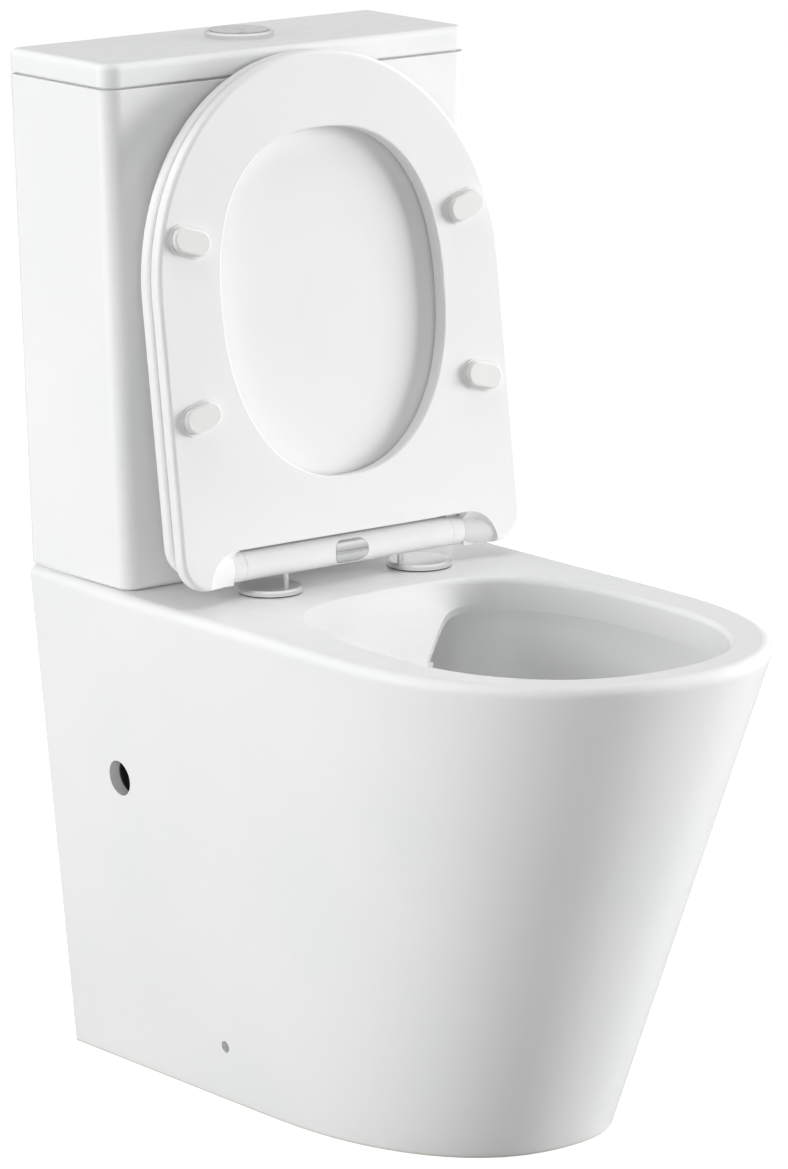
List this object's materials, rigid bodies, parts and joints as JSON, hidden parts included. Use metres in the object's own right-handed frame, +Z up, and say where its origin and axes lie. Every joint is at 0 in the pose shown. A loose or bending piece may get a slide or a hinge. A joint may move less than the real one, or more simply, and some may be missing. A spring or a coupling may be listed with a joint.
{
  "type": "close-coupled toilet",
  "caption": "Close-coupled back-to-wall toilet with skirted rimless pan, tapered cistern with split flush button, and a slim seat and lid on a quick-release soft-close hinge.",
  "frame": {"origin": "on the floor under the middle of the outside box", "axes": "+Z up, front of the toilet towards -Y, wall behind at the +Y side, +X to the right seen from the front"},
  "size_m": [0.373, 0.6479, 0.862],
  "materials": {
    "china": "glossy white glaze",
    "seat_plastic": "white, satin gloss",
    "pad_plastic": "white, soft",
    "chrome": "bright plated",
    "valve_plastic": "moulded, off-white",
    "moving_plastic": "moulded, blue",
    "damper_plastic": "moulded, dark",
    "rubber": "black",
    "steel": "plain stainless"
  },
  "bodies": {
    "pan": {"pan": "china", "flush_nozzle": "valve_plastic", "cistern": "china", "hinge_discs": "chrome", "hinge_posts": "chrome", "hinge_washers": "rubber", "hinge_studs": "steel", "hinge_sleeves": "valve_plastic", "hinge_stud_nuts": "steel", "flush_valve_base": "valve_plastic", "flush_valve_washer": "rubber", "flush_valve_nut": "valve_plastic", "cistern_gasket": "rubber", "flush_valve_tower": "valve_plastic", "rocker_pins": "steel", "fill_valve_body": "valve_plastic", "fill_valve_washer": "rubber", "fill_valve_nut": "valve_plastic", "fill_valve_head": "valve_plastic", "fill_lever_pin": "steel", "cistern_bolts": "steel", "cistern_bolt_washers": "rubber", "cistern_plate_washers": "steel", "cistern_wing_nuts": "valve_plastic"},
    "cistern lid": {"cistern_lid": "china", "button_housing": "chrome", "button_lock_nut": "valve_plastic", "full_button_spring": "steel", "half_button_spring": "steel"},
    "full flush button": {"full_flush_button": "chrome", "full_flush_rod": "valve_plastic"},
    "half flush button": {"half_flush_button": "chrome", "half_flush_rod": "valve_plastic"},
    "full flush rocker": {"full_flush_rocker": "moving_plastic"},
    "half flush rocker": {"half_flush_rocker": "moving_plastic"},
    "overflow tube": {"overflow_tube": "moving_plastic", "flush_seal": "rubber"},
    "half flush float": {"half_flush_float": "valve_plastic"},
    "fill float": {"fill_float": "moving_plastic"},
    "fill lever": {"fill_lever": "moving_plastic"},
    "hinge": {"hinge_bar": "seat_plastic", "left_hinge_damper": "damper_plastic", "right_hinge_damper": "damper_plastic", "release_spring": "steel"},
    "release button": {"hinge_release_button": "chrome"},
    "seat lid": {"seat_lid": "seat_plastic", "lid_buffers": "pad_plastic"},
    "seat": {"seat_ring": "seat_plastic", "seat_buffers": "pad_plastic"}
  },
  "joints": [
    {"name": "cistern_lid_lift", "type": "slide", "parent": "pan", "child": "cistern lid", "axis": [0, 0, 1], "range_m": [0, 0.06]},
    {"name": "full_flush_press", "type": "slide", "parent": "cistern lid", "child": "full flush button", "axis": [0, 0, -1], "range_m": [0, 0.005], "stiffness_N_per_m": 300, "springref_m": -0.01, "deforming": ["full_button_spring"]},
    {"name": "half_flush_press", "type": "slide", "parent": "cistern lid", "child": "half flush button", "axis": [0, 0, -1], "range_m": [0, 0.005], "stiffness_N_per_m": 300, "springref_m": -0.01, "deforming": ["half_button_spring"]},
    {"name": "full_rocker_turn", "type": "hinge", "parent": "pan", "child": "full flush rocker", "pos_m": [0.028, 0.265, 0.703], "axis": [0, -1, 0], "range_deg": [0, 27.1]},
    {"name": "half_rocker_turn", "type": "hinge", "parent": "pan", "child": "half flush rocker", "pos_m": [-0.028, 0.249, 0.703], "axis": [0, 1, 0], "range_deg": [0, 27.1]},
    {"name": "overflow_tube_lift", "type": "slide", "parent": "pan", "child": "overflow tube", "axis": [0, 0, 1], "range_m": [0, 0.0056]},
    {"name": "half_float_lift", "type": "slide", "parent": "pan", "child": "half flush float", "axis": [0, 0, 1], "range_m": [0, 0.0056]},
    {"name": "fill_float_drop", "type": "slide", "parent": "pan", "child": "fill float", "axis": [0, 0, -1], "range_m": [0, 0.012]},
    {"name": "fill_lever_turn", "type": "hinge", "parent": "pan", "child": "fill lever", "pos_m": [-0.112, 0.257, 0.677], "axis": [0, 1, 0], "range_deg": [0, 23.7]},
    {"name": "seat_lift_off", "type": "slide", "parent": "pan", "child": "hinge", "axis": [0, 0, 1], "range_m": [0, 0.04]},
    {"name": "release_press", "type": "slide", "parent": "hinge", "child": "release button", "axis": [0, 1, 0], "range_m": [0, 0.0025], "stiffness_N_per_m": 800, "springref_m": -0.004, "deforming": ["release_spring"]},
    {"name": "lid_hinge", "type": "hinge", "parent": "hinge", "child": "seat lid", "pos_m": [0, 0.12, 0.4455], "axis": [1, 0, 0], "range_deg": [0, 97.4]},
    {"name": "seat_hinge", "type": "hinge", "parent": "seat lid", "child": "seat", "pos_m": [0, 0.12, 0.4455], "axis": [-1, 0, 0], "range_deg": [-97.4, 0]}
  ],
  "couplings": [
    {"joint": "full_rocker_turn", "follows": "full_flush_press", "rad_per_m": 94.3},
    {"joint": "overflow_tube_lift", "follows": "full_flush_press", "ratio": 1.1},
    {"joint": "half_rocker_turn", "follows": "half_flush_press", "rad_per_m": 94.3},
    {"joint": "half_float_lift", "follows": "half_flush_press", "ratio": 1.1},
    {"joint": "fill_lever_turn", "follows": "fill_float_drop", "rad_per_m": 34.3}
  ]
}
